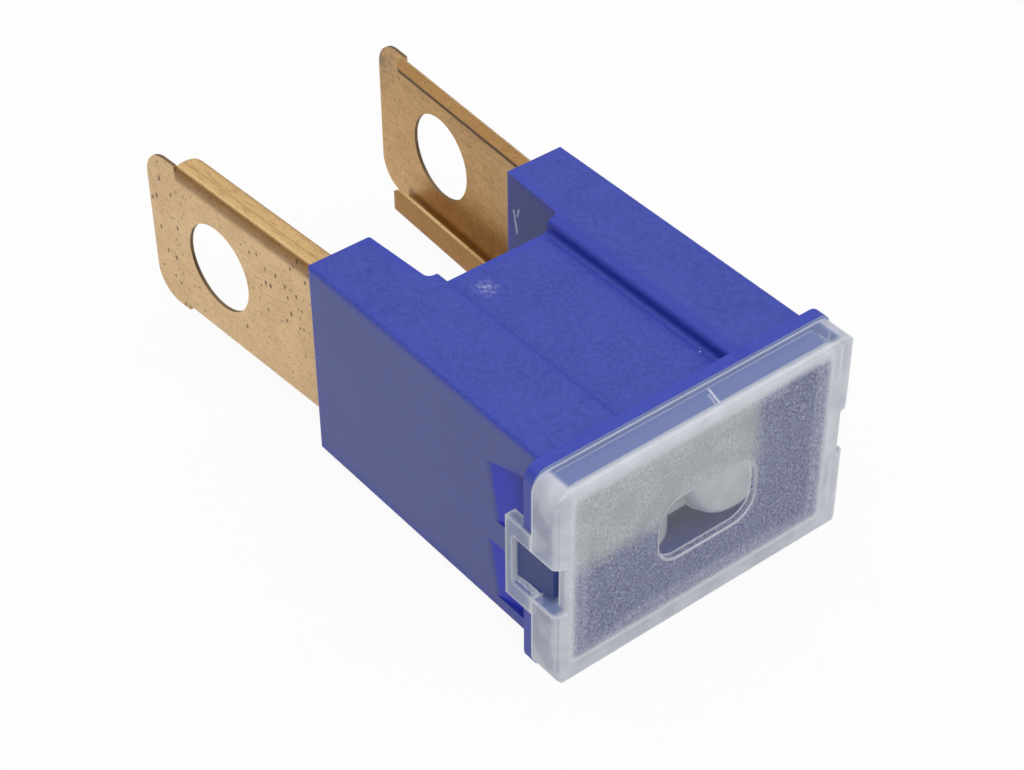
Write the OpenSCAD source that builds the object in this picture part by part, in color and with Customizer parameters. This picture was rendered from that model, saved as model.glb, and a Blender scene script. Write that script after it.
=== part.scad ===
// Bolt-in fusible link: a moulded two-cheek housing, one folded sheet element
// with two splayed bolt legs, a tin pellet on its bridge and a clear cover with
// snap loops. Millimetres. X runs across the width, the cover faces -Y, the legs
// point towards +Y and the link lies on a broad face, so Z is its thickness.

/* [Housing] */
// Width across the two cheeks
body_w = 20.4; // [19.6:0.1:22]
// Thickness of the cheeks
body_t = 15.3; // [14.8:0.1:18]
// Length from the cover's seat to the ends of the cheeks
body_l = 23.9; // [20:0.1:30]
// Width of one cheek at its end
cheek_w = 4.7; // [4.5:0.1:5.5]
// Depth of the gap between the cheeks
slot_depth = 5.9; // [4:0.1:8]
// How much further each cheek's inner face stands in at the gap's bottom
slot_draft = 0.3; // [0.05:0.05:0.5]
// Depth of the web below the cheeks, on each broad side
web_drop = 1.0; // [0.5:0.1:1.4]
// Width of the shoulder beside the web, measured in from the gap's face
shoulder_w = 0.95; // [0.4:0.05:1.5]
// Fillet at the shoulder's foot
shoulder_foot = 0.3; // [0.1:0.05:0.4]
// Rounding of the shoulder's upper edge
shoulder_top = 0.4; // [0.1:0.05:0.5]
// Fillet between the gap's faces and its bottom
gap_r = 0.5; // [0.2:0.05:0.8]
// Wall round the inner chamber
wall = 1.2; // [0.8:0.1:1.4]
// Radius of the housing's outer edges
edge_r = 0.45; // [0.2:0.05:0.8]

/* [Flange and rim] */
// Thickness of the flange
flange_t = 0.85; // [0.6:0.05:1.2]
// Reach of the flange past the housing's sides
flange_side = 1.27; // [1.15:0.01:1.6]
// Reach of the flange past the housing's broad faces
flange_face = 0.28; // [0.1:0.01:0.5]
// Radius of the flange's corners
flange_r = 1.0; // [0.5:0.1:1.5]
// Length of the rim that enters the cover
rim_l = 1.2; // [0.9:0.05:1.25]
// Radius of the rim's corners
rim_r = 0.5; // [0.3:0.1:0.8]

/* [Cover] */
// Depth of the cover in front of its seat
cover_d = 2.35; // [2.3:0.05:3]
// Thickness of the cover's front plate
cover_plate = 0.95; // [0.6:0.05:1]
// Reach of the cover past the flange at the sides
cover_side = 0.13; // [0.05:0.01:0.4]
// Thickness of the cover's long walls
cover_wall = 0.75; // [0.5:0.05:0.9]
// Radius of the cover's corners, seen from the front
cover_r = 1.1; // [0.6:0.1:1.5]
// Radius of the rounding along the front plate's short sides
side_round = 1.1; // [0.9:0.05:1.2]
// Reach of that rounding across the front plate
side_reach = 0.9; // [0.5:0.05:0.9]
// Radius of the rounding along the front plate's long sides
long_round = 0.4; // [0.2:0.05:0.5]
// Width of the smooth sight window
sight_w = 7.7; // [5:0.1:10]
// Height of the smooth sight window
sight_h = 4.9; // [4:0.1:9]
// Radius of the sight window's corners
sight_r = 1.7; // [0.5:0.1:1.9]
// Depth of the sight window in the front plate
sight_deep = 0.08; // [0.05:0.01:0.12]

/* [Snap loops] */
// Height of each snap loop
loop_h = 6.3; // [5.8:0.1:7.5]
// Width of a loop's two side bars
loop_bar = 1.25; // [0.9:0.05:1.4]
// Width of a loop's end bar
loop_end = 0.65; // [0.5:0.05:0.8]
// Thickness of each loop
loop_t = 0.75; // [0.6:0.05:0.9]
// Length of each loop behind the cover's seat
loop_l = 2.4; // [2.3:0.05:3]
// Height of the catch in each loop
catch_h = 2.7; // [1.5:0.1:2.8]
// Height by which each catch stands into its loop
catch_rise = 0.45; // [0.3:0.05:0.5]
// Fall of each catch's lead-in towards the cover
catch_lead = 0.35; // [0.2:0.05:0.5]

/* [Side pockets] */
// Length of the side pockets behind the flange
pocket_l = 4.7; // [4:0.1:6]
// Depth of the side pockets at the flange
pocket_deep = 0.75; // [0.4:0.05:0.8]
// Height of the rib between the two pockets of one side
pocket_rib = 2.0; // [1:0.1:3]
// Height of each side pocket at its rear end
pocket_h = 4.3; // [3:0.1:4.6]
// How far the pockets of one side sit towards one broad face
pocket_shift = 1.15; // [0:0.05:1.3]
// Widening of the outer pocket towards the flange
pocket_flare = 1.6; // [0.1:0.1:2]
// Lean of the pockets' rear edges
pocket_lean = 11; // [0:1:15]

/* [Element] */
// Thickness of the sheet
sheet_t = 0.25; // [0.2:0.01:0.4]
// Distance across the outer faces of the two legs
leg_span = 17.6; // [17:0.1:17.8]
// Height of each leg
leg_h = 12.2; // [11:0.1:12.4]
// Offset of each leg from mid-height, towards its plain folded edge
leg_shift = 0.35; // [0:0.05:0.6]
// Length of the legs beyond the cheeks
leg_out = 19.6; // [17:0.1:25]
// Angle by which each leg splays outwards
leg_splay = 3.1; // [1:0.1:4]
// Length of the splayed run that lies inside the cheek
splay_in = 3.0; // [2:0.1:5]
// Height of the legs' straight runs inside the housing
inner_h = 9.6; // [8.5:0.1:10]
// Radius of the bolt hole
hole_r = 3.25; // [2.6:0.05:3.8]
// Distance of the bolt hole from the ends of the cheeks
hole_out = 12.0; // [8:0.1:12.5]
// Radius of the corners at a leg's tip
tip_r = 2.2; // [1:0.1:2.4]
// Length of a leg's tip that has no folded edges
tip_flat = 3.4; // [2.6:0.1:4]
// Width of the rolled edge
curl_w = 2.1; // [1.6:0.1:2.2]
// Height of the rolled edge with its returned lip
curl_lip = 2.4; // [1.6:0.1:3]
// Radius of the returned lip's corner, seen from the side
lip_corner = 2.0; // [0.5:0.1:2]
// Width of the plain folded edge
fold_w = 1.4; // [1.2:0.1:1.8]
// Radius of both folded edges' corners, seen from above
fold_corner = 1.1; // [0.5:0.1:1.2]
// Outer radius of the bends along both folded edges
fold_r = 0.6; // [0.5:0.05:0.7]

/* [Bridge and pellet] */
// Setback of the bridge behind the cover's seat
bridge_set = 0.55; // [0.3:0.05:1.5]
// Outer radius of the bends between the bridge and the legs
bend_r = 1.0; // [0.6:0.1:1.2]
// Level of the left lobe's lower edge below mid-height
lobe_low = 4.0; // [3:0.1:4.4]
// Height of the round lobe's lower edge above the left lobe's
lobe_step = 0.6; // [0:0.1:1]
// Radius of the lobes' corners
lobe_r = 1.2; // [0.4:0.1:1.5]
// Width of the notch between the two lobes
notch_w = 1.0; // [0.5:0.1:2]
// Distance of the notch from the middle
notch_x = 0.5; // [0.4:0.1:1.2]
// Level of the notch's top below mid-height
notch_low = 1.6; // [0.5:0.1:2]
// Radius of the round lobe
round_r = 3.7; // [3:0.1:3.7]
// Height of the neck that joins the round lobe's leg
neck_h = 2.2; // [1.4:0.1:3]
// Radius of the tin pellet
pellet_r = 3.5; // [2:0.1:3.6]
// Thickness of the tin pellet
pellet_t = 1.1; // [0.8:0.1:1.3]
// Radius of the pellet's front edge
pellet_edge = 0.7; // [0.2:0.1:0.7]

/* [Fits] */
// Gap between the cover and the rim, the catches and the loop recesses
cover_gap = 0.15; // [0.1:0.01:0.2]
// Gap between the element and its channels
sheet_gap = 0.12; // [0.08:0.01:0.2]

/* [Hidden] */
$fn = 48;

// Outside sizes; the frame's origin is below the middle of the whole link
flange_w = body_w + 2 * flange_side;
flange_h = body_t + 2 * flange_face;
cover_w = flange_w + 2 * cover_side;
cover_h = body_t;
total_l = cover_d + body_l + leg_out * cos(leg_splay);
seat_y = cover_d - total_l / 2;
mid_z = flange_h / 2;

// Gap between the cheeks and the web in front of it
slot_rear = body_w / 2 - cheek_w;
slot_front = slot_rear - slot_draft;
web_end = body_l - slot_depth;
web_half = slot_front - shoulder_w;

// Leg channels, chamber and rim
leg_x = leg_span / 2;
inner_x = leg_x - splay_in * sin(leg_splay);
channel_x = leg_x + sheet_gap;
channel_in = inner_x - curl_w - sheet_gap;
channel_h = leg_h + 2 * sheet_gap;
chamber_h = body_t - 2 * web_drop - 2 * wall;
chamber_end = web_end - wall;
rim_w = body_w - 2 * sheet_gap;
rim_h = cover_h - 2 * cover_wall - 2 * cover_gap;
recess_w = rim_w + 2 * cover_gap;
recess_h = rim_h + 2 * cover_gap;

// Snap loops and catches
loop_in = cover_w / 2 - loop_t;
loop_window = loop_h - 2 * loop_bar;
loop_window_l = loop_l - loop_end;
catch_x = loop_in + catch_rise;
catch_y = loop_window_l - cover_gap;
over = 1;

// Legs, bridge and pellet
leg_front = bridge_set + bend_r;
bend_y = body_l - splay_in * cos(leg_splay);
fold_end = leg_out - tip_flat;
plate_low = fold_r - leg_h / 2;
lobe_top = chamber_h / 2 - 2 * sheet_gap;
lobe_x = notch_x + notch_w / 2;
round_x = notch_w / 2 - notch_x + round_r;
round_z = round_r - lobe_low + lobe_step;

// Lifts what is drawn about the cover's seat and mid-height into the frame
module placed() {
    translate([0, seat_y, mid_z]) children();
}

// Repeats a side feature on the other side, turned half round about Y
module both_sides() {
    children();
    rotate([0, 180, 0]) children();
}

// Rectangle about the origin with round corners
module round_rect(w, h, r) {
    square([w - 2 * r, h], center = true);
    square([w, h - 2 * r], center = true);
    for (x = [-1, 1], y = [-1, 1])
        translate([x * (w / 2 - r), y * (h / 2 - r)]) circle(r);
}

// What a round of radius r takes off a corner at the origin
module corner(r) {
    difference() {
        translate([-r, -r]) square(r + over);
        translate([-r, -r]) circle(r);
    }
}

// Stands an outline drawn in X and Z from y0 to y1
module along_y(y0, y1) {
    translate([0, y1, 0]) rotate([90, 0, 0]) linear_extrude(y1 - y0) children();
}

// Stands an outline drawn in Y and Z from x0 to x1
module along_x(x0, x1) {
    translate([x0, 0, 0]) rotate([90, 0, 90]) linear_extrude(x1 - x0) children();
}

// Stands an outline drawn in X and Y over height h, about mid-height
module upright(h) {
    translate([0, 0, -h / 2]) linear_extrude(h) children();
}

// ---- housing ----

// Gap between the cheeks, with round corners at its mouth and its bottom
module cheek_gap() {
    mouth = body_l - edge_r;
    bottom = web_end + gap_r;
    upright(2 * body_t) {
        difference() {
            polygon([[-slot_front, web_end], [slot_front, web_end],
                     [slot_front, bottom], [slot_rear, mouth],
                     [slot_rear, body_l + over], [-slot_rear, body_l + over],
                     [-slot_rear, mouth], [-slot_front, bottom]]);
            for (s = [0, 1]) mirror([s, 0])
                translate([slot_front, web_end]) mirror([0, 1]) corner(gap_r);
        }
        for (s = [0, 1]) mirror([s, 0])
            translate([-slot_rear, body_l]) corner(edge_r);
    }
}

// Rounds of the four outer edges at the cheeks' ends
module end_rounds() {
    for (s = [0, 1]) {
        mirror([s, 0, 0]) upright(2 * body_t)
            translate([body_w / 2, body_l]) corner(edge_r);
        mirror([0, 0, s]) along_x(-body_w, body_w)
            translate([body_l, body_t / 2]) corner(edge_r);
    }
}

// Shallow channel over the web, from the flange to the gap, on both faces
module web_channels() {
    for (s = [0, 1]) mirror([0, 0, s])
        translate([0, 0, body_t / 2 - web_drop])
            along_y(flange_t, web_end + over) {
                difference() {
                    translate([-web_half, 0])
                        square([2 * web_half, web_drop + over]);
                    for (t = [0, 1]) mirror([t, 0]) translate([web_half, 0])
                        mirror([0, 1]) corner(shoulder_foot);
                }
                for (t = [0, 1]) mirror([t, 0])
                    translate([-web_half, web_drop]) corner(shoulder_top);
            }
}

// Space for the bridge, and the two channels that hold the legs
module chamber() {
    along_y(-rim_l - over, chamber_end)
        square([2 * channel_x, chamber_h], center = true);
    both_sides() along_y(-rim_l - over, body_l + over)
        translate([-channel_x, -leg_shift - channel_h / 2])
            square([channel_x - channel_in, channel_h]);
}

// Floor of a side pocket: it runs out at the rear and deepens to the flange
module pocket_floor(z) {
    slope = atan(pocket_deep / pocket_l);
    reach = 2 * pocket_l;
    translate([-body_w / 2, flange_t + pocket_l, z])
        rotate([-pocket_lean, 0, 0]) rotate([0, 0, slope])
            translate([-over, -reach, -pocket_h])
                cube([over, reach, 2 * pocket_h]);
}

// The two pockets behind the flange on the left side
module side_pockets() {
    rib_z = -pocket_shift;
    reach = 2 * pocket_l;
    upper = rib_z + pocket_rib / 2;
    lower = rib_z - pocket_rib / 2;
    intersection() {
        pocket_floor(upper + pocket_h / 2);
        along_x(-body_w, 0) translate([flange_t, upper])
            polygon([[0, 0], [reach, 0], [reach, pocket_h],
                     [pocket_l, pocket_h], [0, pocket_h + pocket_flare]]);
    }
    intersection() {
        pocket_floor(lower - pocket_h / 2);
        along_x(-body_w, 0) translate([flange_t, lower - pocket_h])
            square([reach, pocket_h]);
    }
}

// Flange that the cover seats on, recessed where the snap loops pass
module flange() {
    along_y(0, flange_t) difference() {
        round_rect(flange_w, flange_h, flange_r);
        for (s = [0, 1]) mirror([s, 0])
            translate([loop_in - cover_gap, -loop_h / 2 - cover_gap])
                square([body_w, loop_h + 2 * cover_gap]);
    }
}

// Catch on the left side, with a lead-in towards the cover
module catch() {
    root = (rim_w / 2 + channel_x) / 2;
    upright(catch_h)
        polygon([[-root, catch_y], [-catch_x, catch_y],
                 [-catch_x + catch_lead, -rim_l], [-root, -rim_l]]);
}

module housing() {
    color("royalblue") placed() {
        difference() {
            union() {
                along_y(0, body_l) round_rect(body_w, body_t, edge_r);
                along_y(-rim_l, flange_t) round_rect(rim_w, rim_h, rim_r);
                flange();
            }
            cheek_gap();
            end_rounds();
            web_channels();
            chamber();
            both_sides() side_pockets();
        }
        both_sides() catch();
    }
}

// ---- cover ----

// Outside of the cover, rounded towards its front plate
module cover_block() {
    intersection() {
        along_y(-cover_d, 0) round_rect(cover_w, cover_h, cover_r);
        upright(cover_h) intersection() {
            translate([-cover_w / 2, -cover_d]) square([cover_w, cover_d]);
            union() {
                x = cover_w / 2 - side_reach;
                translate([-x, -cover_d]) square([2 * x, cover_d]);
                translate([-cover_w / 2, side_round - cover_d])
                    square([cover_w, cover_d]);
                for (s = [-1, 1])
                    translate([s * x, side_round - cover_d]) circle(side_round);
            }
        }
        along_x(-cover_w / 2, cover_w / 2) difference() {
            translate([-cover_d, -cover_h / 2]) square([cover_d, cover_h]);
            for (s = [0, 1]) mirror([0, s]) translate([-cover_d, cover_h / 2])
                mirror([1, 0]) corner(long_round);
        }
    }
}

// Snap loops behind the cover's seat, before their windows are cut
module loops() {
    for (s = [0, 1]) mirror([s, 0, 0]) along_y(-over / 2, loop_l)
        translate([loop_in, -loop_h / 2]) square([loop_t, loop_h]);
}

// Side openings: right through the wall and loop, and past the plate's ends
module loop_windows() {
    plate_x = cover_w / 2 - side_reach;
    for (s = [0, 1]) mirror([s, 0, 0]) {
        along_y(cover_plate - cover_d, loop_window_l)
            translate([recess_w / 2 - over, -loop_window / 2])
                square([body_w, loop_window]);
        along_y(-2 * cover_d, 0)
            translate([plate_x, -loop_window / 2]) square([body_w, loop_window]);
    }
}

module cover() {
    color("gainsboro", 0.5) placed() difference() {
        union() {
            cover_block();
            loops();
        }
        along_y(cover_plate - cover_d, 0) round_rect(recess_w, recess_h, rim_r);
        along_y(-2 * cover_d, sight_deep - cover_d)
            round_rect(sight_w, sight_h, sight_r);
        loop_windows();
    }
}

// ---- fuse element ----

// Section of a quarter bend in the sheet, in its lower left quadrant
module quarter_bend(r) {
    difference() {
        circle(r);
        circle(r - sheet_t);
        translate([-2 * r, 0]) square(4 * r);
        translate([0, -2 * r]) square(4 * r);
    }
}

// Section of a leg's rolled upper edge with its returned lip
module rolled_section() {
    high = leg_h / 2 - fold_r;
    for (t = [0, 1]) translate([t * curl_w, 0]) mirror([t, 0])
        translate([fold_r, high]) mirror([0, 1]) quarter_bend(fold_r);
    translate([fold_r, leg_h / 2 - sheet_t])
        square([curl_w - 2 * fold_r, sheet_t]);
    translate([curl_w - sheet_t, leg_h / 2 - curl_lip])
        square([sheet_t, curl_lip - fold_r]);
}

// Section of a leg's plain lower fold
module fold_section() {
    translate([fold_r, fold_r - leg_h / 2]) quarter_bend(fold_r);
    translate([fold_r, -leg_h / 2]) square([fold_w - fold_r, sheet_t]);
}

// Side view of the splayed plate: plain between the folds, round at the tip
module plate_outline() {
    start = -splay_in - sheet_t;
    translate([start, plate_low]) square([fold_end - start, -2 * plate_low]);
    difference() {
        translate([fold_end, -leg_h / 2]) square([tip_flat, leg_h]);
        for (s = [0, 1]) mirror([0, s])
            translate([leg_out, leg_h / 2]) corner(tip_r);
    }
}

// Both folded edges, with round corners at their free ends
module folded_edges() {
    difference() {
        along_y(2 * sheet_t - splay_in, fold_end) rolled_section();
        along_x(fold_r, curl_w + over) translate([fold_end, leg_h / 2 - curl_lip])
            mirror([0, 1]) corner(lip_corner);
        upright(2 * leg_h) translate([curl_w, fold_end]) corner(fold_corner);
    }
    difference() {
        along_y(2 * sheet_t - splay_in, fold_end) fold_section();
        upright(2 * leg_h) translate([fold_w, fold_end]) corner(fold_corner);
    }
}

// Left leg: straight inside the cheek, then splayed, with its bolt hole; the
// two runs lap by the sheet's thickness where the splay begins
module leg() {
    translate([-inner_x, leg_front, -leg_shift - inner_h / 2])
        cube([sheet_t, bend_y + sheet_t - leg_front, inner_h]);
    translate([-leg_x, body_l, -leg_shift]) rotate([0, 0, leg_splay]) {
        difference() {
            along_x(0, sheet_t) plate_outline();
            translate([-over, hole_out, 0]) rotate([0, 90, 0])
                cylinder(h = 2 * over, r = hole_r);
        }
        folded_edges();
    }
}

// Bend on the left from a leg into the bridge, between two levels
module front_bend(z0, z1) {
    translate([bend_r - inner_x, leg_front, z0])
        linear_extrude(z1 - z0) quarter_bend(bend_r);
}

// Outline of the bridge: left lobe, strip over the notch, round lobe and neck
module bridge_outline() {
    end_x = inner_x - bend_r;
    side_x = round_x + round_r;
    difference() {
        translate([-end_x, -lobe_low]) square([end_x - lobe_x, lobe_top + lobe_low]);
        translate([-lobe_x, -lobe_low]) mirror([0, 1]) corner(lobe_r);
    }
    translate([-lobe_x - lobe_r, -notch_low])
        square([lobe_x + lobe_r + round_x, lobe_top + notch_low]);
    difference() {
        translate([round_x - round_r, round_z]) square([2 * round_r, lobe_top - round_z]);
        translate([side_x, lobe_top]) corner(lobe_r);
    }
    translate([round_x, round_z]) circle(round_r);
    translate([round_x, round_z - neck_h / 2]) square([end_x - round_x, neck_h]);
}

module fuse_element() {
    color("goldenrod") placed() {
        both_sides() leg();
        front_bend(-lobe_low, lobe_top);
        mirror([1, 0, 0]) front_bend(round_z - neck_h / 2, round_z + neck_h / 2);
        along_y(bridge_set, bridge_set + sheet_t) bridge_outline();
    }
}

// ---- tin pellet ----

module tin_pellet() {
    color("lightgray") placed()
        translate([round_x, bridge_set, round_z]) rotate([90, 0, 0]) rotate_extrude() {
            square([pellet_r - pellet_edge, pellet_t]);
            square([pellet_r, pellet_t - pellet_edge]);
            translate([pellet_r - pellet_edge, pellet_t - pellet_edge])
                intersection() {
                    circle(pellet_edge);
                    square(pellet_edge);
                }
        }
}

housing();
cover();
fuse_element();
tin_pellet();
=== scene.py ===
"""Fusible link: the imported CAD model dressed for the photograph's view."""

import math

import bpy
from mathutils import Matrix, Vector


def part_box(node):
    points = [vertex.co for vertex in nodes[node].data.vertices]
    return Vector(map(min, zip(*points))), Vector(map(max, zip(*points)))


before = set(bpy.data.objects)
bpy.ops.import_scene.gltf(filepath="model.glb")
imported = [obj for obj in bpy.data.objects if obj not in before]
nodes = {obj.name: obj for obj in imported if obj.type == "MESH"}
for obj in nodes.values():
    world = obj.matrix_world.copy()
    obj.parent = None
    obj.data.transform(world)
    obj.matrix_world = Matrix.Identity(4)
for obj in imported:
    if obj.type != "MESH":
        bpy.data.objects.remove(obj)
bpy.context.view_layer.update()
mm = 0.001

# The photograph's camera, fitted to the link's own edges: its place in mm, the
# way it looks, and the focal length that its 1024 pixels of width stand for.
CAM_AT = Vector((-73.11, -96.61, 106.66)) * mm
CAM_AZIMUTH = math.radians(-38.363)
CAM_ELEVATION = math.radians(40.725)
CAM_ROLL = math.radians(-0.382)
CAM_FOCAL_PX = 2406.9
FRAME_W_PX = 1024
SENSOR_MM = 36
CLIP_NEAR, CLIP_FAR = 0.005, 20

# Levels of the link in mm. From the nodes' boxes: its mid-height, the cover's
# front and the cheeks' ends; given: the cover's depth to the seat behind it,
# the narrow sides and the web's end between the cheeks.
housing_lo, housing_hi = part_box("housing")
cover_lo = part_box("cover")[0]
COVER_D = 2.35
MID_Z = (housing_lo.z + housing_hi.z) / 2 / mm
FRONT_Y = cover_lo.y / mm
SEAT_Y = FRONT_Y + COVER_D
CHEEK_END = housing_hi.y / mm
SIDE_X = 10.2
WEB_END = -2.2


# ---- camera ----


def add_camera():
    data = bpy.data.cameras.new("camera")
    data.sensor_width = SENSOR_MM
    data.lens = CAM_FOCAL_PX * SENSOR_MM / FRAME_W_PX
    data.clip_start = CLIP_NEAR
    data.clip_end = CLIP_FAR
    cam = bpy.data.objects.new("camera", data)
    bpy.context.scene.collection.objects.link(cam)
    a, e = CAM_AZIMUTH, CAM_ELEVATION
    back = Vector((math.sin(a) * math.cos(e), -math.cos(a) * math.cos(e), math.sin(e)))
    right = Vector((math.cos(a), math.sin(a), 0))
    right = Matrix.Rotation(CAM_ROLL, 3, back) @ right
    up = back.cross(right)
    turn = Matrix((right, up, back)).transposed()
    cam.matrix_world = Matrix.Translation(CAM_AT) @ turn.to_4x4()
    bpy.context.scene.camera = cam


add_camera()


# ---- node helpers ----

# The Mix node's colour sockets.
MIX_A, MIX_B, MIX_RESULT = 6, 7, 2
AO_SAMPLES = 8


class Nodes:
    """A material's node tree, with short calls for the nodes used here."""

    def __init__(self, name):
        self.mat = bpy.data.materials.new(name)
        self.mat.use_nodes = True
        self.tree = self.mat.node_tree
        self.tree.nodes.clear()
        self.out = self.add("OutputMaterial")
        place = self.add("TexCoord").outputs["Object"]
        self.mm = self.vector("SCALE", place, scale=1 / mm)
        self.x, self.y, self.z = self.split(self.mm)
        normal = self.add("NewGeometry").outputs["True Normal"]
        self.nx, self.ny, self.nz = self.split(normal)

    def add(self, kind, **settings):
        node = self.tree.nodes.new("ShaderNode" + kind)
        for key, value in settings.items():
            setattr(node, key, value)
        return node

    def feed(self, socket, value):
        if isinstance(value, bpy.types.NodeSocket):
            self.tree.links.new(value, socket)
        elif value is not None:
            socket.default_value = value

    def math(self, op, a, b=None, c=None):
        node = self.add("Math", operation=op)
        for socket, value in zip(node.inputs, (a, b, c)):
            self.feed(socket, value)
        return node.outputs[0]

    def less(self, a, b):
        return self.math("SUBTRACT", a, b)

    def size(self, value):
        return self.math("ABSOLUTE", value)

    def off(self, value, centre):
        """Distance of a value from the centre of a band."""
        return self.size(self.less(value, centre))

    def times(self, *values):
        total = values[0]
        for value in values[1:]:
            total = self.math("MULTIPLY", total, value)
        return total

    def most(self, *values):
        top = values[0]
        for value in values[1:]:
            top = self.math("MAXIMUM", top, value)
        return top

    def vector(self, op, a, b=None, scale=None):
        node = self.add("VectorMath", operation=op)
        self.feed(node.inputs[0], a)
        self.feed(node.inputs[1], b)
        if scale is not None:
            node.inputs["Scale"].default_value = scale
        return node.outputs["Value" if op in ("LENGTH", "DISTANCE") else "Vector"]

    def split(self, vector):
        node = self.add("SeparateXYZ")
        self.feed(node.inputs[0], vector)
        return node.outputs

    def join(self, x=0.0, y=0.0, z=0.0):
        node = self.add("CombineXYZ")
        for socket, value in zip(node.inputs, (x, y, z)):
            self.feed(socket, value)
        return node.outputs[0]

    def noise(self, scale, detail=2.0, rough=0.5, at=None):
        node = self.add("TexNoise")
        self.feed(node.inputs["Vector"], at or self.mm)
        node.inputs["Scale"].default_value = scale
        node.inputs["Detail"].default_value = detail
        node.inputs["Roughness"].default_value = rough
        return node.outputs["Fac"]

    def cells(self, scale, at=None):
        """Distance to the nearest random point, and that point's own colour."""
        node = self.add("TexVoronoi")
        self.feed(node.inputs["Vector"], at or self.mm)
        node.inputs["Scale"].default_value = scale
        return node.outputs["Distance"], node.outputs["Color"]

    def ramp(self, value, low, high):
        """0 at low and 1 at high, smooth between; low may be the larger."""
        node = self.add("MapRange", interpolation_type="SMOOTHSTEP")
        self.feed(node.inputs["Value"], value)
        node.inputs["From Min"].default_value = low
        node.inputs["From Max"].default_value = high
        return node.outputs["Result"]

    def span(self, value, low, high):
        """Stretches 0..1 to low..high."""
        return self.math("MULTIPLY_ADD", value, high - low, low)

    def mix(self, share, a, b, blend="MIX"):
        node = self.add("Mix", data_type="RGBA", blend_type=blend)
        self.feed(node.inputs["Factor"], share)
        self.feed(node.inputs[MIX_A], a)
        self.feed(node.inputs[MIX_B], b)
        return node.outputs[MIX_RESULT]

    def stain(self, share, a, tint):
        """Multiplies the colour a by a tint."""
        return self.mix(share, a, tint, blend="MULTIPLY")

    def occlusion(self, reach, inside=False):
        """1 on an open flat face; less in nooks, or near edges when inside."""
        node = self.add("AmbientOcclusion", samples=AO_SAMPLES, inside=inside)
        node.inputs["Distance"].default_value = reach * mm
        return node.outputs["AO"]

    def bump(self, height, strength, distance, after=None):
        node = self.add("Bump")
        node.inputs["Strength"].default_value = strength
        node.inputs["Distance"].default_value = distance
        self.feed(node.inputs["Height"], height)
        self.feed(node.inputs["Normal"], after)
        return node.outputs["Normal"]

    def principled(self, **values):
        node = self.add("BsdfPrincipled")
        for key, value in values.items():
            self.feed(node.inputs[key.replace("_", " ")], value)
        return node.outputs["BSDF"]

    def blend(self, share, a, b):
        node = self.add("MixShader")
        self.feed(node.inputs[0], share)
        self.feed(node.inputs[1], a)
        self.feed(node.inputs[2], b)
        return node.outputs[0]

    def stroke(self, u, v, a, b):
        """Distance in mm from the point (u, v) to the segment from a to b."""
        start, way = Vector((*a, 0)), Vector((b[0] - a[0], b[1] - a[1], 0))
        off = self.vector("SUBTRACT", self.join(u, v), start)
        along = self.vector("MULTIPLY", off, way)
        ax, ay, _ = self.split(along)
        t = self.math("DIVIDE", self.math("ADD", ax, ay), way.length_squared)
        t = self.math("MINIMUM", self.math("MAXIMUM", t, 0.0), 1.0)
        foot = self.vector("MULTIPLY", self.join(t, t), way)
        return self.vector("DISTANCE", off, foot)

    def round_box(self, u, v, half_u, half_v, r):
        """Signed distance in mm to a rectangle with round corners."""
        qu = self.less(self.size(u), half_u - r)
        qv = self.less(self.size(v), half_v - r)
        out = self.vector("LENGTH", self.join(self.most(qu, 0.0), self.most(qv, 0.0)))
        deep = self.math("MINIMUM", self.most(qu, qv), 0.0)
        return self.less(self.math("ADD", out, deep), r)

    def done(self, shader):
        self.feed(self.out.inputs["Surface"], shader)
        return self.mat


def rgb(r, g, b):
    return (r, g, b, 1.0)


def dress(node, mat):
    data = nodes[node].data
    data.materials.clear()
    data.materials.append(mat)


# ---- blue moulded plastic ----

BLUE_LOW, BLUE_HIGH = rgb(0.026, 0.044, 0.35), rgb(0.034, 0.058, 0.39)
BLUE_MOTTLE, BLUE_SPECK = rgb(0.046, 0.076, 0.45), rgb(0.09, 0.12, 0.48)
# The side, edge, shade, nook, step, catch, pocket and seat blues are painted light and
# shade, not the plastic's own colour.
BLUE_SIDE_PAINTED_SHEEN, BLUE_GRAIN = rgb(0.082, 0.100, 0.24), rgb(0.080, 0.105, 0.42)
BLUE_EDGE_PAINTED_LIGHT = rgb(0.032, 0.052, 0.49)
BLUE_SHADE, BLUE_NOOK_SHADE = rgb(0.022, 0.036, 0.42), rgb(0.012, 0.022, 0.22)
BLUE_STEP_SHADE, BLUE_CATCH_SHADE = rgb(0.022, 0.040, 0.41), rgb(0.018, 0.040, 0.17)
BLUE_POCKET_LIGHT, BLUE_POCKET_SHADE = rgb(0.014, 0.028, 0.56), rgb(0.010, 0.018, 0.15)
BLUE_SEAT_PAINTED_LIGHT, BLUE_WEAR = rgb(0.30, 0.36, 0.66), rgb(0.62, 0.66, 0.85)

# Places on the housing, in mm: the step beside the web and its height, the
# pockets' length, the catches' reach and half height, and the gap's right face.
STEP_X, STEP_Z = 4.65, 14.0
POCKET_FROM, POCKET_TO = 0.8, 6.0
CATCH_RISE, CATCH_HALF_H = 0.15, 1.4
GAP_FACE_X, GAP_FACE_END, GAP_FACE_Y = 5.0, 5.7, -2.4
# Marks of wear, each a line from one point to another or a spot.
SCRATCH = (2.36, 12.85), (1.98, 11.24)
SCRATCH_TAIL = (1.78, 13.25), (1.95, 12.65)
SCUFF_AT, SCUFF_R = Vector((-2.3, -4.6, 14.6)), 1.1
DUST_X = 4.35


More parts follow.
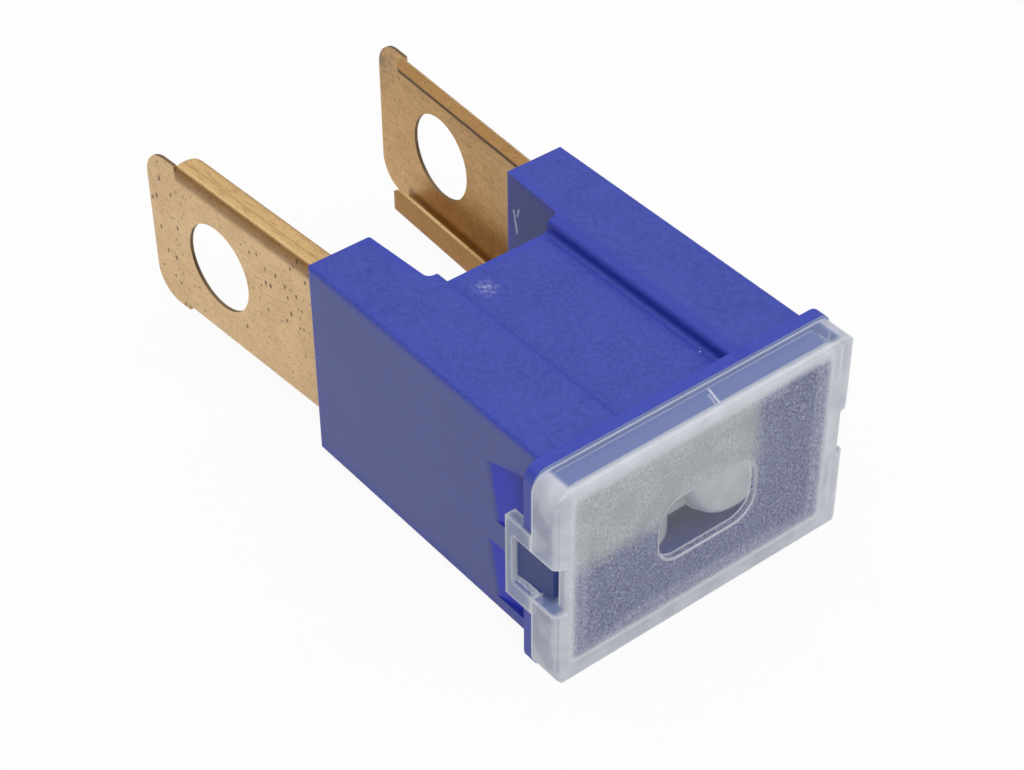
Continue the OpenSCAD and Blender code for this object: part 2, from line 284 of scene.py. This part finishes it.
def housing_wear(n):
    """A scratch in the right cheek's gap face, a scuff on the web, and dust
    along the right-hand step."""
    gap_face = n.times(n.ramp(n.x, GAP_FACE_X - 0.1, GAP_FACE_X + 0.1),
                       n.ramp(n.x, GAP_FACE_END, GAP_FACE_END - 0.1),
                       n.ramp(n.y, GAP_FACE_Y - 0.2, GAP_FACE_Y))
    line = n.stroke(n.y, n.z, *SCRATCH)
    tail = n.stroke(n.y, n.z, *SCRATCH_TAIL)
    scratch = n.most(n.ramp(line, 0.14, 0.06), n.ramp(tail, 0.11, 0.05))
    scratch = n.times(scratch, gap_face, n.ramp(n.noise(6, 2), 0.3, 0.5))
    scuff_way = n.vector("DISTANCE", n.mm, SCUFF_AT)
    scuff = n.times(n.ramp(scuff_way, SCUFF_R, 0.1),
                    n.ramp(n.noise(3.6, 4, 0.75), 0.42, 0.72))
    dots, hue = n.cells(1.25)
    pick, size, _ = n.split(hue)
    dust = n.times(n.ramp(n.off(n.x, DUST_X), 0.7, 0.4),
                   n.ramp(n.z, STEP_Z, STEP_Z + 0.3),
                   n.ramp(n.less(dots, n.times(size, 0.05)), 0.08, 0.04),
                   n.ramp(pick, 0.45, 0.5))
    return n.most(scratch, n.times(scuff, 0.7), n.times(dust, 0.8))


def blue_plastic():
    n = Nodes("blue_plastic")
    cloud = n.noise(0.35, 3)
    mottle = n.noise(2.8, 3, 0.6)
    grain = n.noise(7, 2, 0.6)
    speck = n.ramp(n.noise(5, 1), 0.66, 0.74)
    colour = n.mix(n.ramp(cloud, 0.3, 0.7), BLUE_LOW, BLUE_HIGH)
    colour = n.mix(n.times(n.ramp(mottle, 0.38, 0.62), 0.7), colour, BLUE_MOTTLE)
    colour = n.mix(n.times(speck, 0.6), colour, BLUE_SPECK)
    # Painted sheen: the sides get a duller grey veil than the broad faces, and the
    # edges a deeper, brighter painted highlight blue.
    wide = n.size(n.x)
    side = n.ramp(n.size(n.nx), 0.75, 0.95)
    edge = n.ramp(n.occlusion(1.1, inside=True), 0.95, 0.62)
    colour = n.mix(n.times(side, 0.6), colour, BLUE_SIDE_PAINTED_SHEEN)
    colour = n.mix(n.times(n.ramp(grain, 0.45, 0.7), 0.4), colour, BLUE_GRAIN)
    colour = n.mix(n.times(edge, 0.55), colour, BLUE_EDGE_PAINTED_LIGHT)
    # Painted shade: pockets, step feet and catches are darkened where they gather less
    # light than open faces.
    nook_shade = n.ramp(n.occlusion(2.5), 0.9, 0.4)
    colour = n.mix(n.times(n.ramp(nook_shade, 0.0, 0.4), 0.6), colour, BLUE_SHADE)
    colour = n.mix(n.times(n.ramp(nook_shade, 0.3, 1.0), 0.5), colour, BLUE_NOOK_SHADE)
    # Painted shade on the step's face beside the web.
    step = n.times(n.ramp(n.off(n.x, STEP_X), 0.85, 0.25),
                   n.ramp(n.y, WEB_END + 0.2, WEB_END),
                   n.ramp(n.z, STEP_Z - 0.2, STEP_Z + 0.2))
    colour = n.mix(n.times(step, 0.6), colour, BLUE_STEP_SHADE)
    # Painted shade in the side pockets: saturated blue, darkest where they sink
    # deepest.
    sunk = n.less(SIDE_X, wide)
    pocket = n.times(n.ramp(sunk, 0.02, 0.08), n.ramp(sunk, 1.0, 0.9), side,
                     n.ramp(n.y, SEAT_Y + POCKET_FROM, SEAT_Y + POCKET_FROM + 0.1),
                     n.ramp(n.y, SEAT_Y + POCKET_TO, SEAT_Y + POCKET_TO - 0.1))
    deep = n.mix(n.ramp(sunk, 0.2, 0.65), BLUE_POCKET_LIGHT, BLUE_POCKET_SHADE)
    colour = n.mix(n.times(pocket, 0.9), colour, deep)
    # Painted shade on the catches.
    catch = n.times(n.ramp(wide, SIDE_X + CATCH_RISE, SIDE_X + 2 * CATCH_RISE),
                    n.ramp(n.off(n.z, MID_Z), CATCH_HALF_H + 0.05, CATCH_HALF_H))
    colour = n.mix(n.times(catch, 0.85), colour, BLUE_CATCH_SHADE)
    # Painted light: the flange's front face is painted pale as a light line under the
    # cover's edge.
    seat = n.times(n.ramp(n.ny, -0.8, -0.95),
                   n.ramp(n.y, SEAT_Y + 0.1, SEAT_Y + 0.05),
                   n.ramp(n.y, SEAT_Y - 0.1, SEAT_Y - 0.05))
    colour = n.mix(seat, colour, BLUE_SEAT_PAINTED_LIGHT)
    colour = n.mix(housing_wear(n), colour, BLUE_WEAR)
    skin = n.bump(grain, 0.35, 0.03 * mm, n.bump(mottle, 0.2, 0.08 * mm))
    shader = n.principled(Base_Color=colour, Roughness=n.span(mottle, 0.42, 0.58),
                          Normal=skin, IOR=1.5)
    return n.done(shader)


# ---- clear cover ----

# The smooth sight window, the plate's face and the end blocks, in mm.
SIGHT_HALF_W, SIGHT_HALF_H, SIGHT_R = 3.85, 2.45, 1.7
BLOCK_X = 10.3
PLATE_X, PLATE_UP, PLATE_HALF_W, PLATE_HALF_H, PLATE_R = -0.45, 0.45, 9.95, 6.45, 0.5
LONG_WALL_UP = 7.5
TICK = (1.17, -21.11), (0.87, -22.31)
# Edges of the painted pale blur of the tinned bridge behind the pebbles.
BLUR_UP, BLUR_X = (0.2, 2.2), (4.6, 2.8)

# Painted light on the pebbles: dusky painted shade of the chamber with flecks and
# painted glints, and the painted pale blur of the lit bridge.
DUSKY, DUSKY_FLECK = rgb(0.050, 0.058, 0.17), rgb(0.35, 0.38, 0.58)
DUSKY_SPARK = rgb(0.56, 0.59, 0.72)
PALE_BLUR, PALE_BLUR_LOW = rgb(0.42, 0.46, 0.46), rgb(0.52, 0.57, 0.57)
PALE_BLUR_HIGH = rgb(0.70, 0.74, 0.73)
HAZE_LOW, HAZE_HIGH = rgb(0.42, 0.45, 0.57), rgb(0.56, 0.59, 0.67)
HAZE_LOOP, HAZE_WALL = rgb(0.36, 0.42, 0.54), rgb(0.23, 0.29, 0.52)
PAINTED_EDGE_LIGHT_AND_TICK, SEAT_PAINTED_LIGHT = rgb(0.80, 0.82, 0.87), rgb(0.34, 0.40, 0.72)
CLEAR_SMOOTH, CLEAR_PEBBLED = rgb(0.95, 0.96, 0.98), rgb(0.74, 0.75, 0.84)
LAMP_TINT = rgb(0.92, 0.93, 0.95)


def pebble_painted_light(n, up):
    """What lies behind is painted on the pebbles: a painted pale blur over the
    tinned bridge, painted shade past it, and painted glints."""
    fleck = n.ramp(n.noise(5.5, 2, 0.6), 0.38, 0.62)
    spark = n.ramp(n.noise(7.0, 1), 0.60, 0.68)
    drift = n.math("MULTIPLY_ADD", n.noise(0.9, 3, 0.7), 2.0, -1.0)
    pale = n.times(n.ramp(n.math("ADD", up, drift), *BLUR_UP),
                   n.ramp(n.math("ADD", n.x, drift), *BLUR_X))
    dusky = n.mix(spark, n.mix(fleck, DUSKY, DUSKY_FLECK), DUSKY_SPARK)
    cloud = n.ramp(n.noise(0.45, 2), 0.35, 0.6)
    pale_blur = n.mix(fleck, PALE_BLUR, n.mix(cloud, PALE_BLUR_LOW, PALE_BLUR_HIGH))
    return n.mix(pale, dusky, pale_blur)


def clear_plastic():
    n = Nodes("clear_plastic")
    up = n.less(n.z, MID_Z)
    wide, high = n.size(n.x), n.size(up)
    front = n.ramp(n.ny, -0.7, -0.9)
    sight = n.round_box(n.x, up, SIGHT_HALF_W, SIGHT_HALF_H, SIGHT_R)
    plate = n.round_box(n.less(n.x, PLATE_X), n.less(up, PLATE_UP),
                        PLATE_HALF_W, PLATE_HALF_H, PLATE_R)
    frosted = n.times(front, n.ramp(sight, -0.02, 0.06))
    border = n.times(front, n.ramp(plate, -0.5, 0.25))
    pebbled = n.times(frosted, n.ramp(border, 0.8, 0.1))
    ring = n.times(front, n.ramp(n.size(sight), 0.14, 0.04))
    stone, _ = n.cells(3.3)
    ripple = n.noise(4.2, 2, 0.6)
    height = n.times(n.math("ADD", stone, ripple), pebbled)
    skin = n.bump(height, 0.9, 0.09 * mm)
    # Milkiness: slight in the sight window, flecked in the pebbled plate, most
    # in the thick end blocks; painted highlights light every outer edge, the border,
    # ring, lip, seat and crowns.
    streak = n.ramp(n.noise(0.6, 2, 0.5), 0.3, 0.7)
    block = n.ramp(wide, BLOCK_X - 0.5, BLOCK_X + 0.1)
    end = n.ramp(wide, BLOCK_X, BLOCK_X + 0.3)
    lip = n.times(n.ramp(n.y, FRONT_Y + 0.7, FRONT_Y + 0.2), n.ramp(front, 1.0, 0.0))
    seat = n.times(n.ramp(n.y, SEAT_Y - 0.16, SEAT_Y - 0.08),
                   n.ramp(n.y, SEAT_Y + 0.3, SEAT_Y + 0.05))
    loop = n.ramp(n.y, SEAT_Y + 0.05, SEAT_Y + 0.3)
    wall = n.ramp(n.size(n.nz), 0.8, 0.95)
    outer = n.most(front, n.ramp(high, LONG_WALL_UP - 0.2, LONG_WALL_UP), end)
    edge = n.times(n.ramp(n.occlusion(0.35, inside=True), 0.9, 0.6), outer)
    tick = n.stroke(n.x, n.y, *TICK)
    tick = n.times(n.ramp(tick, 0.13, 0.05), n.ramp(n.nz, 0.8, 0.95))
    # Painted light: the face that rests on the flange is painted with the flange's
    # pale, lit edge.
    rests = n.times(n.ramp(n.ny, 0.8, 0.95), n.ramp(n.off(n.y, SEAT_Y), 0.1, 0.05))
    crown = n.times(end, n.ramp(high, 4.8, 7.2))
    thick_and_edge_light = n.times(n.most(block, border, seat, lip), n.span(streak, 0.64, 0.80),
                    n.span(loop, 1.0, 0.6))
    milk_and_edge_light = n.most(thick_and_edge_light, n.times(frosted, 0.66), n.times(ring, 0.7),
                  n.times(edge, n.span(loop, 0.75, 0.5)), n.times(tick, 0.6),
                  n.times(wall, 0.45), rests, 0.04)
    haze_and_painted_light = n.mix(streak, HAZE_LOW, HAZE_HIGH)
    haze_and_painted_light = n.mix(loop, haze_and_painted_light, HAZE_LOOP)
    haze_and_painted_light = n.mix(wall, haze_and_painted_light, HAZE_WALL)
    haze_and_painted_light = n.mix(frosted, haze_and_painted_light, pebble_painted_light(n, up))
    # Painted highlight colour for the edges, border, ring, lip, seat and crowns; the
    # tick is a real mark in the same pale colour.
    haze_and_painted_light = n.mix(n.most(border, edge, ring, tick, lip,
                        n.times(seat, n.span(end, 0.6, 1.0)),
                        n.times(crown, 0.8)), haze_and_painted_light, PAINTED_EDGE_LIGHT_AND_TICK)
    clear = n.principled(
        Base_Color=n.mix(pebbled, CLEAR_SMOOTH, CLEAR_PEBBLED),
        Roughness=n.span(pebbled, 0.08, 0.28), Normal=skin, IOR=1.36,
        Transmission_Weight=1.0,
    )
    white = n.principled(Base_Color=n.mix(rests, haze_and_painted_light, SEAT_PAINTED_LIGHT),
                         Roughness=0.35, Normal=skin, IOR=1.45)
    body = n.blend(milk_and_edge_light, clear, white)
    # Light on its way to and from what is inside passes almost unhindered.
    lamp_way = n.add("BsdfTransparent")
    lamp_way.inputs["Color"].default_value = LAMP_TINT
    path = n.add("LightPath").outputs
    light = n.most(path["Is Shadow Ray"], path["Is Diffuse Ray"])
    return n.done(n.blend(light, body, lamp_way.outputs[0]))


# ---- brass sheet, tinned at the bridge ----

# The legs in mm: their outer faces at the cheeks' ends, their half height, the
# hole, and the folded edges' end and width.
LEG_X, SPLAY = 8.8, math.radians(3.1)
LEG_SHIFT = 0.35
HOLE_OUT, HOLE_R = 12.0, 3.25
FOLD_END, FOLD_W = 16.2, 1.4
CREASE_DEEP = 0.85
TINNED_L = 3.0
# Stretches for the noises: rolling marks, streaks along the fold, upright pits.
ROLLED, STREAKED, TALL = (5, 0.7, 5), (1.6, 0.35, 1.0), (0.2, 1.9, 1.2)

BRASS_LOW, BRASS_HIGH = rgb(0.72, 0.475, 0.235), rgb(0.82, 0.56, 0.290)
BRASS_ROLLED, BRASS_FINE = rgb(0.52, 0.33, 0.15), rgb(0.78, 0.58, 0.36)
BRASS_TROUGH_LIGHT, BRASS_RIDGE_HIGHLIGHT = rgb(0.86, 0.60, 0.28), rgb(0.86, 0.62, 0.32)
BRASS_CREASE_SHADE, BRASS_GRIME = rgb(0.50, 0.27, 0.10), rgb(0.42, 0.24, 0.10)
BRASS_CUT, BRASS_SMOKE = rgb(0.15, 0.10, 0.06), rgb(0.24, 0.17, 0.11)
BRASS_PIT, TINNED = rgb(0.12, 0.065, 0.025), rgb(0.66, 0.70, 0.66)
# Tints that the brass is multiplied by; the inner, fold and bend tints are painted
# shade.
INNER_SHADE_TINT, FOLD_SHADE_TINT = rgb(0.86, 0.74, 0.50), rgb(0.62, 0.50, 0.33)
LIP_TINT, BEND_SHADE_TINT = rgb(0.95, 0.84, 0.35), rgb(0.72, 0.72, 0.74)
SHELF_TINT = rgb(0.84, 0.76, 0.66)


def brass_sheet():
    n = Nodes("brass_sheet")
    # The legs' own directions: out along the leg, in from its outer face, and
    # up towards the rolled edge, which is the lower one on the right-hand leg.
    side = n.math("SIGN", n.x)
    out = n.less(n.y, CHEEK_END)
    face_x = n.math("MULTIPLY_ADD", out, math.tan(SPLAY), LEG_X)
    deep = n.less(face_x, n.size(n.x))
    up = n.less(LEG_SHIFT, n.times(side, n.less(n.z, MID_Z)))
    top = n.ramp(n.nz, 0.9, 0.98)
    cloud = n.noise(0.45, 4, 0.6)
    brushed = n.noise(1.0, 3, 0.6, at=n.vector("MULTIPLY", n.mm, Vector(ROLLED)))
    fine = n.noise(6, 2, 0.6)
    inner = n.ramp(n.times(side, n.nx), -0.3, -0.6)
    colour = n.mix(n.ramp(cloud, 0.3, 0.7), BRASS_LOW, BRASS_HIGH)
    rolled = n.times(n.ramp(brushed, 0.4, 0.75), n.span(inner, 0.35, 0.6))
    colour = n.mix(rolled, colour, BRASS_ROLLED)
    colour = n.mix(n.times(n.ramp(fine, 0.5, 0.7), 0.3), colour, BRASS_FINE)
    # Painted shade darkens inner faces, the bend, the lip and the plain fold; painted
    # light lifts the trough and ridge.
    bend = n.times(n.ramp(n.nz, 0.1, 0.35), n.ramp(n.nz, 0.9, 0.7))
    band = n.times(n.ramp(up, 4.7, 5.4), n.ramp(out, FOLD_END + 0.2, FOLD_END - 0.2),
                   n.ramp(deep, 0.5, 0.3), n.ramp(n.nz, 0.9, 0.7))
    shelf = n.times(top, n.ramp(up, 4.0, 4.5))
    trough = n.times(n.ramp(deep, 0.22, 0.3), n.ramp(up, 1.5, 5.0),
                     n.ramp(n.nz, -0.1, 0.1))
    lip = n.times(n.ramp(deep, FOLD_W - 0.4, FOLD_W - 0.2), inner)
    plain_fold = n.times(top, n.ramp(up, -5.0, -5.5))
    shade = n.times(inner, n.span(n.ramp(out, 7.0, 1.0), 0.85, 0.35))
    colour = n.stain(shade, colour, INNER_SHADE_TINT)
    # Painted light lifting the shade in the trough of the rolled edge.
    colour = n.mix(n.times(trough, 0.7), colour, BRASS_TROUGH_LIGHT)
    # Painted shade in the bend, the band below the rolled edge's top, the lip and the
    # plain fold.
    colour = n.stain(n.most(bend, band, lip, plain_fold), colour, FOLD_SHADE_TINT)
    colour = n.stain(lip, colour, LIP_TINT)
    colour = n.stain(n.most(bend, band), colour, BEND_SHADE_TINT)
    colour = n.stain(n.times(shelf, 0.7), colour, SHELF_TINT)
    # Painted shade along a crease on the rolled edge's top.
    crease = n.times(shelf, n.ramp(n.off(deep, CREASE_DEEP), 0.1, 0.03))
    colour = n.mix(n.times(crease, 0.55), colour, BRASS_CREASE_SHADE)
    along = n.vector("MULTIPLY", n.mm, Vector(STREAKED))
    grime = n.times(shelf, n.ramp(n.noise(2.2, 3, 0.7, at=along), 0.52, 0.62))
    colour = n.mix(n.times(grime, 0.45), colour, BRASS_GRIME)
    # Painted highlight along the lip's top edge.
    ridge = n.times(n.ramp(n.nz, 0.7, 0.9), n.ramp(deep, FOLD_W - 0.4, FOLD_W - 0.3),
                    n.ramp(n.x, -0.5, 0.5), n.ramp(up, 0.0, 1.0))
    colour = n.mix(n.times(ridge, 0.6), colour, BRASS_RIDGE_HIGHLIGHT)
    # Small upright pits, closer together towards the housing.
    pit_way, pit_hue = n.cells(1.0, at=n.vector("MULTIPLY", n.mm, Vector(TALL)))
    pick, size, _ = n.split(pit_hue)
    near = n.times(n.ramp(out, 17, 0), n.span(n.ramp(up, -4.0, 3.0), 0.35, 0.7))
    pit = n.times(n.ramp(n.less(pit_way, n.times(size, 0.16)), 0.16, 0.07),
                  n.ramp(n.math("ADD", pick, near), 0.62, 0.66),
                  n.span(inner, 1.0, 0.22), n.ramp(n.size(n.nx), 0.5, 0.7))
    speck = n.times(n.ramp(n.noise(4.5, 1), 0.64, 0.70), n.span(shelf, 0.45, 0.2))
    # Cut edges and the tarnished tip of the right-hand leg are dull.
    edge_on = n.ramp(n.size(n.nx), 0.6, 0.4)
    tip = n.times(edge_on, n.ramp(out, FOLD_END - 0.1, FOLD_END + 0.1))
    to_hole = n.vector("LENGTH", n.join(n.less(out, HOLE_OUT), up))
    wall = n.times(edge_on, n.ramp(to_hole, HOLE_R + 0.1, HOLE_R + 0.03))
    fold_edge = n.times(n.ramp(deep, FOLD_W - 0.05, FOLD_W - 0.02),
                        n.ramp(up, -5.6, -5.8),
                        n.ramp(deep, FOLD_W + 0.3, FOLD_W + 0.1))
    cut = n.most(tip, wall, fold_edge)
    smoke = n.times(n.ramp(out, 16.4, 19.2), n.ramp(n.z, 8.5, 13.0),
                    n.ramp(n.noise(1.6, 4, 0.7), 0.36, 0.62), n.ramp(n.x, 8, 9))
    colour = n.mix(n.times(cut, 0.85), colour, BRASS_CUT)
    colour = n.mix(n.times(smoke, 0.75), colour, BRASS_SMOKE)
    colour = n.mix(n.most(n.times(pit, 0.85), speck), colour, BRASS_PIT)
    tinned = n.ramp(n.y, SEAT_Y + TINNED_L, SEAT_Y + TINNED_L - 1.0)
    colour = n.mix(tinned, colour, TINNED)
    rough = n.most(n.span(brushed, 0.32, 0.46), n.times(cut, 0.6), n.times(tinned, 0.5))
    skin = n.bump(n.less(n.times(fine, 0.4), pit), 0.5, 0.05 * mm)
    shader = n.principled(Base_Color=colour, Metallic=n.span(tinned, 0.35, 0.40),
                          Roughness=rough, Normal=skin, Specular_IOR_Level=0.25)
    return n.done(shader)


# ---- tin pellet ----

TIN_LOW, TIN_HIGH = rgb(0.78, 0.82, 0.78), rgb(0.88, 0.92, 0.87)


def tin():
    n = Nodes("tin")
    cloud = n.noise(0.8, 3)
    colour = n.mix(n.ramp(cloud, 0.3, 0.7), TIN_LOW, TIN_HIGH)
    shader = n.principled(Base_Color=colour, Metallic=0.4, Roughness=0.45,
                          Normal=n.bump(n.noise(2.5, 3), 0.25, 0.1 * mm))
    return n.done(shader)


dress("housing", blue_plastic())
dress("cover", clear_plastic())
dress("fuse_element", brass_sheet())
dress("tin_pellet", tin())


# ---- floor, backdrop and light ----

FLOOR_HALF, FLOOR_DROP = 0.9, 0.02
FLOOR_LOW, FLOOR_HIGH = rgb(0.80, 0.80, 0.80), rgb(0.83, 0.83, 0.83)
GLOW_SHARE = 0.93
SKY_LOW, SKY_HIGH = 0.25, 0.85
SKY_LOW_Z, SKY_HIGH_Z = 0.36, 0.60
KEY_WAY, KEY_FAR, KEY_SIZE, KEY_WATTS = (-0.15, -0.35, 1.0), 0.7, 0.45, 1.5


def add_floor():
    """A pale floor that looks nearly white and keeps the link's shadow."""
    n = Nodes("floor_white")
    grain = n.noise(0.15, 2)
    colour = n.mix(n.ramp(grain, 0.3, 0.7), FLOOR_LOW, FLOOR_HIGH)
    matte = n.add("BsdfDiffuse")
    n.feed(matte.inputs["Color"], colour)
    glow = n.add("Emission")
    glow.inputs["Strength"].default_value = 1.0
    path = n.add("LightPath").outputs
    seen = n.most(path["Is Camera Ray"], path["Is Glossy Ray"],
                  path["Is Transmission Ray"])
    share = n.times(seen, GLOW_SHARE)
    mat = n.done(n.blend(share, matte.outputs[0], glow.outputs[0]))
    bpy.ops.mesh.primitive_plane_add(size=2 * FLOOR_HALF,
                                     location=(0, 0, -FLOOR_DROP * mm))
    floor = bpy.context.object
    floor.name = "floor"
    floor.data.materials.append(mat)


def add_world():
    """A plain sky, dimmer towards the horizon and white to the camera."""
    world = bpy.data.worlds.new("studio")
    bpy.context.scene.world = world
    world.use_nodes = True
    tree = world.node_tree
    add, link = tree.nodes.new, tree.links.new
    split = add("ShaderNodeSeparateXYZ")
    link(add("ShaderNodeTexCoord").outputs["Generated"], split.inputs[0])
    sky = add("ShaderNodeMapRange")
    sky.interpolation_type = "SMOOTHSTEP"
    link(split.outputs["Z"], sky.inputs["Value"])
    for name, value in (("From Min", SKY_LOW_Z), ("From Max", SKY_HIGH_Z),
                        ("To Min", SKY_LOW), ("To Max", SKY_HIGH)):
        sky.inputs[name].default_value = value
    level = add("ShaderNodeMix")
    link(add("ShaderNodeLightPath").outputs["Is Camera Ray"], level.inputs["Factor"])
    link(sky.outputs["Result"], level.inputs["A"])
    level.inputs["B"].default_value = 1.0
    link(level.outputs["Result"], tree.nodes["Background"].inputs["Strength"])
    tree.nodes["Background"].inputs["Color"].default_value = (1, 1, 1, 1)


def add_lamp(name, direction, distance, size, power):
    """A square softbox that looks at the middle of the link."""
    data = bpy.data.lights.new(name, "AREA")
    data.shape = "SQUARE"
    data.size = size
    data.energy = power
    lamp = bpy.data.objects.new(name, data)
    bpy.context.scene.collection.objects.link(lamp)
    way = Vector(direction).normalized()
    lamp.location = Vector((0, 0, MID_Z * mm)) + way * distance
    lamp.rotation_mode = "QUATERNION"
    lamp.rotation_quaternion = way.to_track_quat("Z", "Y")


add_floor()
add_world()
add_lamp("key", KEY_WAY, KEY_FAR, KEY_SIZE, KEY_WATTS)

bpy.context.scene.view_settings.view_transform = "Standard"
